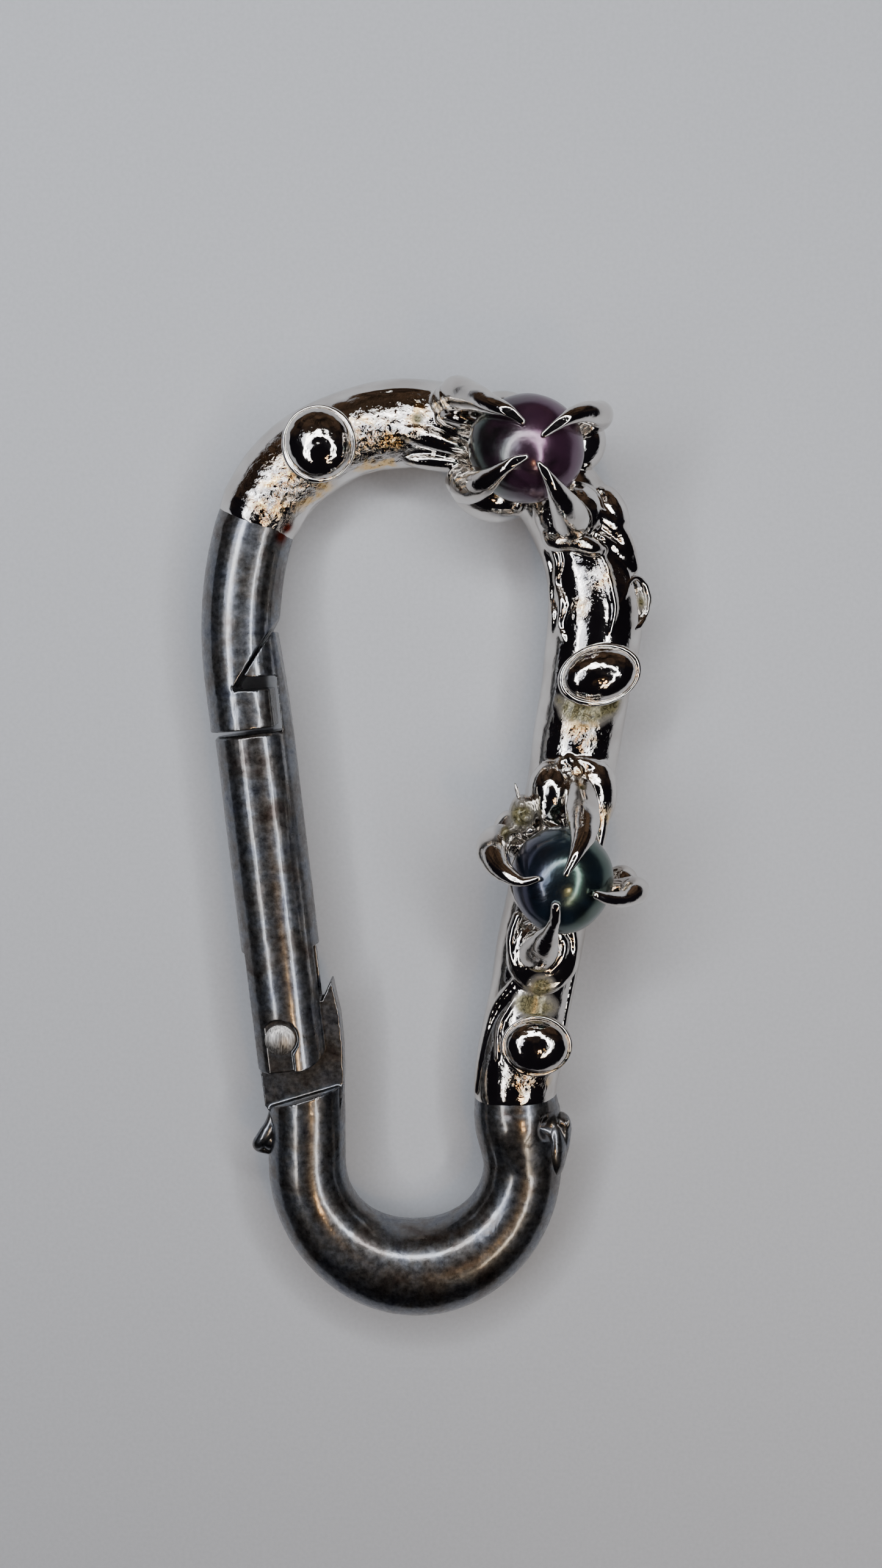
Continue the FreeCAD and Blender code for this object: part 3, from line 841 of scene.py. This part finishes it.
class HOOK_OT_silver_skin(bpy.types.Operator):
    """Silver skin over the wide bend and the spine, with its collars and folds"""
    bl_idname = "hook.silver_skin"
    bl_label = "Silver skin"

    def execute(self, context):
        shapes = [self.sleeve()]
        for fold in SILVER_FOLDS:
            line = smooth_line(fold, 10 * len(fold))
            thick = np.maximum(line[:, 3], 0.05)
            shapes.append(tube([self.hug(p, r) for p, r in zip(line[:, :3], thick)], thick, sides=18))
        for centre, half, turn in SILVER_MASSES:
            shapes.append(blob(centre, half, turn))
        skin = piece("silver_skin_melted", shapes)
        melt(skin, sizes().silver_voxel, rounds=3)
        co = coordinates(skin)
        # the folds are strongest on the left shoulder, at the corner and round the lower pearl
        depth = sizes().crumple
        heavy = 0.15 + 0.6 * near(co, (-9.5, 32.0, 7.0), 4.5) + near(co, (12.0, 28.0, 8.0), 4.0)
        heavy += near(co, (12.0, 5.0, 8.0), 3.0) + near(co, (10.0, -8.0, 8.0), 3.0)
        foil = np.clip(sum(near(co, spot, reach) for spot, reach in FOIL_SPOTS), 0, 1)
        crumpled = depth * heavy * folds(co, 1.1, 3.0) + 0.075 * foil * folds(co, 0.85, 18.0)
        uneven = 0.06 * grain(co, 3.5, 5.0) + 0.010 * grain(co, 0.8, 6.0)
        push(skin, crumpled + uneven - self.seam(co))
        co = coordinates(skin)
        mark(skin, "residue", 1.6 * sum(near(co, spot, reach) for spot, reach in RESIDUE_SPOTS) - 0.2)
        mark(skin, "copper", 1.6 * near(co, on_bar(124.9, -52, 3.6), 0.65) - 0.3)
        mark(skin, "foil", foil)
        finish_piece(skin, "frame", material("silver"), "polished_silver", "silver_skin")
        return {"FINISHED"}

    def seam(self, co):
        """How deep the open seam along the outer side of the spine cuts in at each point."""
        line = [on_bar(s, 62, self.core(s)[1]) for s in np.arange(46.0, 55.5, 0.12)]
        return 0.34 * np.max([near(co, p, 0.20) for p in line], axis=0)

    def core(self, s):
        """Centre and radius of the plain sleeve at a place along the bar."""
        shift = 0.25 * math.exp(-((s - 85.0) / 8.0) ** 2)
        radius = 3.62 + 0.33 * math.exp(-((s - 84.0) / 8.0) ** 2) + 0.06 * math.sin(s * 0.7)
        return on_bar(s, -90, shift), radius

    def sleeve(self):
        """The plain coat of silver on the bar, with rounded ends."""
        parts = [self.core(s) for s in np.arange(SKIN_FROM + 1.2, SKIN_TO - 0.9, 0.5)]
        return tube([c for c, r in parts], [r for c, r in parts], sides=64)

    def hug(self, point, thick):
        """Sets a fold down on the sleeve: a fine one is half sunk, a thick one may stand clear of it."""
        point = Vector(point)
        parts = [self.core(s) for s in np.arange(SKIN_FROM, SKIN_TO, 0.25)]
        centre, radius = min(parts, key=lambda one: (one[0] - point).length - one[1])
        arm = point - centre
        stands_out = 0.15 * thick if thick < FINE_FOLD else 2.0 * thick
        reach = min(max(arm.length, radius - 0.15), radius + stands_out)
        return centre + arm.normalized() * reach


# Each bead: half sizes of the dome, its turn in degrees, and half the thickness of the rim at its foot.
BEAD_LOOKS = {
    "top": ((2.70, 2.85, 1.62), 8.0, 0.22),
    "corner": ((3.05, 2.15, 1.45), 13.0, 0.28),
    "spine": ((2.68, 2.30, 1.42), 0.0, 0.22),
}


class HOOK_OT_beads(bpy.types.Operator):
    """Three silver beads, each with the melted rim round its foot"""
    bl_idname = "hook.beads"
    bl_label = "Beads"

    def execute(self, context):
        for name, (half, turn, thick) in BEAD_LOOKS.items():
            centre, packed = centre_of("bead_" + name)
            top = centre.z + packed.z
            middle = Vector((centre.x, centre.y, top - half[2]))
            bead = piece("silver_bead_" + name, [blob(middle, half, turn, finer=6)])
            co = coordinates(bead)
            hammered = 0.014 * folds(co, 0.8, 9.0) + 0.008 * grain(co, 0.4, 19.0)
            push(bead, 0.07 * grain(co, 2.6, 8.0) + hammered)
            finish_piece(bead, "frame", material("bead"), "polished_silver", "bead_" + name)
            foot = middle - UP * 0.15
            oval = (half[0] + thick * 0.55, half[1] + thick * 0.55)
            rim = piece("melted_rim_" + name, [halo(foot, oval, thick, turn, 0.08)])
            melt(rim, 0.08, rounds=2)
            co = coordinates(rim)
            push(rim, 0.05 * grain(co, 1.2, 4.0))
            finish_piece(rim, "frame", material("silver"), "polished_silver", "rim_" + name)
        return {"FINISHED"}


PEARL_LOOKS = {"upper": ("aubergine", "aubergine_pearl", 11.0), "lower": ("peacock", "peacock_pearl", 23.0)}


class HOOK_OT_pearls(bpy.types.Operator):
    """Two off-round pearls"""
    bl_idname = "hook.pearls"
    bl_label = "Pearls"

    def execute(self, context):
        for name, (look, slot, seed) in PEARL_LOOKS.items():
            centre, half = centre_of("pearl_" + name)
            pearl = piece("baroque_pearl_" + name, [blob(centre, half, finer=6)])
            co = coordinates(pearl)
            push(pearl, 0.28 * grain(co, 4.5, seed) + 0.05 * grain(co, 1.8, seed + 1) - 0.12)
            finish_piece(pearl, "frame", material(look), slot, "pearl_" + name)
        return {"FINISHED"}


# Each claw, from its clubbed foot to its tip: place in mm and half thickness.
CLAW_LINES = {
    "upper_1": [
        (3.8, 30.7, 8.9, 1.25), (3.6, 30.4, 11.0, 1.35), (4.7, 30.5, 13.4, 1.10),
        (5.9, 31.2, 15.0, 0.68), (7.04, 31.9, 15.9, 0.42), (8.0, 32.3, 16.0, 0.22),
    ],
    "upper_2": [
        (12.1, 28.2, 8.4, 1.45), (12.0, 27.9, 10.6, 1.60), (11.4, 28.5, 12.9, 1.30),
        (10.5, 29.7, 14.9, 0.80), (9.6, 31.0, 15.9, 0.42), (9.0, 31.8, 16.0, 0.20),
    ],
    "upper_3": [
        (13.2, 35.6, 8.6, 1.05), (14.0, 36.0, 11.0, 1.15), (13.6, 35.9, 13.2, 1.00),
        (12.4, 35.8, 14.8, 0.78), (10.9, 35.1, 15.8, 0.50), (9.4, 34.0, 16.0, 0.25),
    ],
    "upper_4": [
        (3.3, 37.4, 8.8, 1.35), (2.8, 37.8, 10.6, 1.45), (4.1, 37.2, 13.0, 1.10),
        (5.4, 36.4, 14.8, 0.80), (6.6, 35.8, 15.8, 0.52), (7.7, 35.0, 16.0, 0.26),
    ],
    "lower_1": [
        (7.0, 2.0, 8.4, 1.20), (5.9, 1.9, 10.4, 1.35), (5.7, 1.2, 12.6, 1.30), (6.4, 0.1, 14.3, 0.85),
        (7.8, -0.6, 15.4, 0.45), (9.1, -0.3, 16.0, 0.22),
    ],
    "lower_2": [
        (9.6, -7.4, 8.6, 1.30), (9.5, -7.2, 10.4, 1.60), (9.8, -6.2, 12.4, 1.25),
        (10.2, -4.7, 14.3, 0.62), (10.5, -3.6, 15.3, 0.48), (10.5, -2.5, 15.9, 0.40),
    ],
    "lower_3": [
        (15.8, -2.3, 8.8, 1.00), (17.1, -2.0, 10.9, 1.15), (17.0, -1.8, 12.8, 1.05),
        (15.9, -2.2, 14.2, 0.70), (14.6, -1.95, 15.3, 0.50), (13.7, -1.6, 15.8, 0.35),
    ],
    "lower_4": [
        (12.9, 6.6, 7.6, 1.00), (12.9, 5.7, 9.6, 1.30), (12.9, 4.3, 11.8, 1.38),
        (12.8, 3.0, 13.7, 1.08), (12.2, 1.7, 15.2, 0.64), (11.3, 0.1, 16.0, 0.26),
    ],
}


class HOOK_OT_claws(bpy.types.Operator):
    """Eight tapered claws with clubbed feet, closed over the pearls"""
    bl_idname = "hook.claws"
    bl_label = "Claws"

    def execute(self, context):
        for name, line in CLAW_LINES.items():
            fine = smooth_line(line, 48)
            claw = piece("horn_claw_" + name, [tube(fine[:, :3], fine[:, 3], sides=28)])
            co = coordinates(claw)
            push(claw, 0.04 * grain(co, 1.4, 12.0) + 0.018 * folds(co, 0.8, 13.0))
            finish_piece(claw, "frame", material("silver"), "polished_silver", "claw_" + name)
        return {"FINISHED"}


class HOOK_OT_cups(bpy.types.Operator):
    """The melted cups under the pearls and the claws' feet"""
    bl_idname = "hook.cups"
    bl_label = "Cups"

    def execute(self, context):
        for name in PEARL_LOOKS:
            centre, _ = centre_of("cup_" + name)
            shapes = [
                blob(centre + UP * 0.2, (3.9, 3.9, 2.0)),
                halo(centre + UP, (3.7, 3.6), 0.45, 0.0, 0.15),
            ]
            for claw, line in CLAW_LINES.items():
                if claw.startswith(name):
                    foot = Vector(line[0][:3])
                    middle = (foot + centre) / 2 - UP * 0.9
                    arm = smooth_line([tuple(foot), tuple(middle), tuple(centre - UP)], 12)
                    shapes.append(tube(arm, [1.0] * 12, sides=16))
            cup = piece("melted_cup_" + name, shapes)
            melt(cup, 0.12, rounds=4)
            co = coordinates(cup)
            push(cup, 0.10 * grain(co, 1.9, 14.0) + 0.03 * folds(co, 1.0, 15.0))
            mark(cup, "residue", 0.9 * grain(coordinates(cup), 1.6, 16.0) - 0.15)
            finish_piece(cup, "frame", material("silver"), "polished_silver", "cup_" + name)
        return {"FINISHED"}


class HOOK_OT_petal(bpy.types.Operator):
    """The thin curled petal at the outer corner"""
    bl_idname = "hook.petal"
    bl_label = "Petal"

    def execute(self, context):
        edge = [(16.0, 21.2, 6.9), (16.6, 22.6, 6.8), (17.6, 23.4, 6.3), (18.4, 22.8, 5.7), (18.7, 21.6, 5.4),
                (18.5, 20.3, 5.5), (17.8, 19.4, 6.0), (16.7, 19.4, 6.6), (16.0, 21.2, 6.9)]
        line = smooth_line([(*p, 0.30 + 0.10 * math.sin(2.2 * i)) for i, p in enumerate(edge)], 90)
        veins = [
            [(16.3, 20.6, 6.5, 0.10), (17.2, 21.0, 6.2, 0.20), (17.7, 21.9, 6.0, 0.10)],
            [(16.4, 21.8, 6.6, 0.10), (17.1, 22.2, 6.3, 0.18), (17.5, 22.9, 6.2, 0.10)],
            [(16.9, 19.7, 6.3, 0.10), (17.6, 20.3, 5.9, 0.16), (18.2, 20.4, 5.5, 0.10)],
        ]
        shapes = [tube(line[:, :3], line[:, 3], sides=18), blob((17.1, 21.3, 5.1), (1.5, 2.0, 0.9))]
        for vein in veins:
            fine = smooth_line(vein, 24)
            shapes.append(tube(fine[:, :3], fine[:, 3], sides=14))
        petal = piece("curled_petal", shapes)
        melt(petal, 0.07, rounds=3)
        co = coordinates(petal)
        push(petal, 0.05 * folds(co, 1.0, 17.0))
        mark(petal, "residue", 1.1 * near(coordinates(petal), (18.0, 21.4, 5.7), 0.7))
        finish_piece(petal, "frame", material("silver"), "polished_silver", "leaf_petal")
        return {"FINISHED"}


class HOOK_OT_stage(bpy.types.Operator):
    """Pale floor, ring lamp, soft fill and camera"""
    bl_idname = "hook.stage"
    bl_label = "Stage"

    def execute(self, context):
        low, high = CAD_BOX
        middle = (low + high) / 2
        self.floor(middle, low.z)
        self.room()
        self.lamps(middle)
        self.camera(middle)
        return {"FINISHED"}

    def floor(self, middle, height):
        """A wide flat card under the hook."""
        bm = bmesh.new()
        reach = 1.5
        corners = [(-reach, -reach), (reach, -reach), (reach, reach), (-reach, reach)]
        bm.faces.new([bm.verts.new((middle.x + x, middle.y + y, height)) for x, y in corners])
        mesh = bpy.data.meshes.new("pale_floor")
        bm.to_mesh(mesh)
        bm.free()
        floor = bpy.data.objects.new("pale_floor", mesh)
        bpy.context.scene.collection.objects.link(floor)
        mesh.materials.append(material("card"))

    def room(self):
        """A dark room with a patch of warm brown on the far side of the table."""
        world = bpy.data.worlds.new("dim_room")
        bpy.context.scene.world = world
        world.use_nodes = True
        tree = world.node_tree
        tree.nodes.clear()
        where = add(tree, "ShaderNodeTexCoord").outputs["Generated"]
        ahead = add(tree, "ShaderNodeSeparateXYZ", [("Vector", where)]).outputs["Y"]
        far_side = spread(tree, ahead, 0.0, 1.0, 0.15, 0.85)
        patchy = add(tree, "ShaderNodeTexNoise", [("Vector", where)], Scale=3.5, Detail=3.0).outputs["Fac"]
        brown = ramp(tree, patchy, [(0.38, "#1a1613"), (0.62, "#5d4a3b")])
        colour = mixed(tree, far_side, colours().room, brown)
        light = add(tree, "ShaderNodeBackground", [("Color", colour)], Strength=1.0)
        add(tree, "ShaderNodeOutputWorld", [("Surface", light.outputs["Background"])])

    def lamps(self, middle):
        """An open ring of light overhead, wider on its far side, with a dim warm bulb inside it."""
        centre = Vector((middle.x - 0.008, middle.y - 0.012, sizes().lamp_height))
        mesh = self.open_ring(centre)
        mesh.materials.append(self.lamp_glow(centre))
        lamp = bpy.data.objects.new("ring_lamp", mesh)
        bpy.context.scene.collection.objects.link(lamp)
        lamp.visible_camera = False
        self.area("warm_bulb", centre + Vector((0.045, -0.035, 0.0)), 0.012, 0.02, "#ffc98a")
        self.area("soft_fill", middle + Vector((-0.35, 0.10, 0.55)), 0.30, 0.8, "#eef2ff")

    def open_ring(self, centre):
        """A flat strip bent into a ring, with its gap towards the front."""
        count, gap, gap_at = 96, math.radians(80), math.radians(-100)
        bm = bmesh.new()
        arms = []
        for i in range(count + 1):
            a = gap_at + gap / 2 + (2 * math.pi - gap) * i / count
            half_width = 0.010 + 0.004 * math.sin(a)
            outward = Vector((math.cos(a), math.sin(a), 0))
            arms.append([
                bm.verts.new(centre + outward * (sizes().lamp_radius + side * half_width)) for side in (-1, 1)
            ])
        for one, two in zip(arms, arms[1:]):
            bm.faces.new((one[0], two[0], two[1], one[1]))
        mesh = bpy.data.meshes.new("ring_lamp")
        bm.to_mesh(mesh)
        bm.free()
        return mesh

    def lamp_glow(self, centre):
        """Even light that turns warmer near the ring's two ends."""
        glow, tree = new_material("lamp_glow")
        where = add(tree, "ShaderNodeTexCoord").outputs["Object"]
        height = add(tree, "ShaderNodeSeparateXYZ", [("Vector", where)]).outputs["Y"]
        near_ends = spread(tree, height, 1.0, 0.0, centre.y - 0.085, centre.y - 0.045)
        tint = mixed(tree, near_ends, colours().lamp, colours().lamp_ends)
        emission = add(tree, "ShaderNodeEmission", [("Color", tint)], Strength=15.0)
        add(tree, "ShaderNodeOutputMaterial", [("Surface", emission.outputs["Emission"])])
        return glow

    def area(self, name, place, size, power, colour):
        """A round lamp that looks at the hook."""
        data = bpy.data.lights.new(name, "AREA")
        data.shape = "DISK"
        data.size = size
        data.energy = power
        data.color = linear(colour)[:3]
        lamp = bpy.data.objects.new(name, data)
        lamp.location = place
        lamp.rotation_mode = "QUATERNION"
        lamp.rotation_quaternion = (place - (CAD_BOX[0] + CAD_BOX[1]) / 2).to_track_quat("Z", "Y")
        bpy.context.scene.collection.objects.link(lamp)

    def camera(self, middle):
        """Looks down on the hook, leaning a little from the far side."""
        tilt, distance = math.radians(5.0), 0.1465
        aim = Vector((middle.x + 0.0012, middle.y + 0.0061, MID_Z * MM))
        data = bpy.data.cameras.new("camera")
        data.sensor_width = 36.0
        data.lens = 39.66
        data.clip_start = 0.005
        camera = bpy.data.objects.new("camera", data)
        camera.location = aim + Vector((0, math.sin(tilt), math.cos(tilt))) * distance
        camera.rotation_euler = (-tilt, 0, 0)
        bpy.context.scene.collection.objects.link(camera)
        bpy.context.scene.camera = camera


class HOOK_PT_panel(bpy.types.Panel):
    """Lists the pieces of the hook and its values"""
    bl_idname = "HOOK_PT_panel"
    bl_label = "Key hook"
    bl_space_type = "VIEW_3D"
    bl_region_type = "UI"
    bl_category = "Key Hook"

    def draw(self, context):
        layout = self.layout
        for group in (context.scene.hook_sizes, context.scene.hook_colours):
            for name in group.__annotations__:
                layout.prop(group, name)
        for operator in OPERATORS:
            layout.operator(operator.bl_idname)


OPERATORS = [
    HOOK_OT_steel_frame, HOOK_OT_gate, HOOK_OT_small_steel, HOOK_OT_silver_skin, HOOK_OT_beads,
    HOOK_OT_pearls, HOOK_OT_cups, HOOK_OT_claws, HOOK_OT_petal, HOOK_OT_stage,
]
CLASSES = [HookSizes, HookColours, *OPERATORS, HOOK_PT_panel]


def register():
    for one in CLASSES:
        bpy.utils.register_class(one)
    bpy.types.Scene.hook_sizes = PointerProperty(type=HookSizes)
    bpy.types.Scene.hook_colours = PointerProperty(type=HookColours)


def unregister():
    del bpy.types.Scene.hook_colours
    del bpy.types.Scene.hook_sizes
    for one in reversed(CLASSES):
        bpy.utils.unregister_class(one)


def main():
    register()
    bpy.ops.hook.stage()
    bpy.ops.hook.steel_frame()
    bpy.ops.hook.gate()
    bpy.ops.hook.small_steel()
    bpy.ops.hook.silver_skin()
    bpy.ops.hook.beads()
    bpy.ops.hook.pearls()
    bpy.ops.hook.cups()
    bpy.ops.hook.claws()
    bpy.ops.hook.petal()


if __name__ == "__main__":
    main()
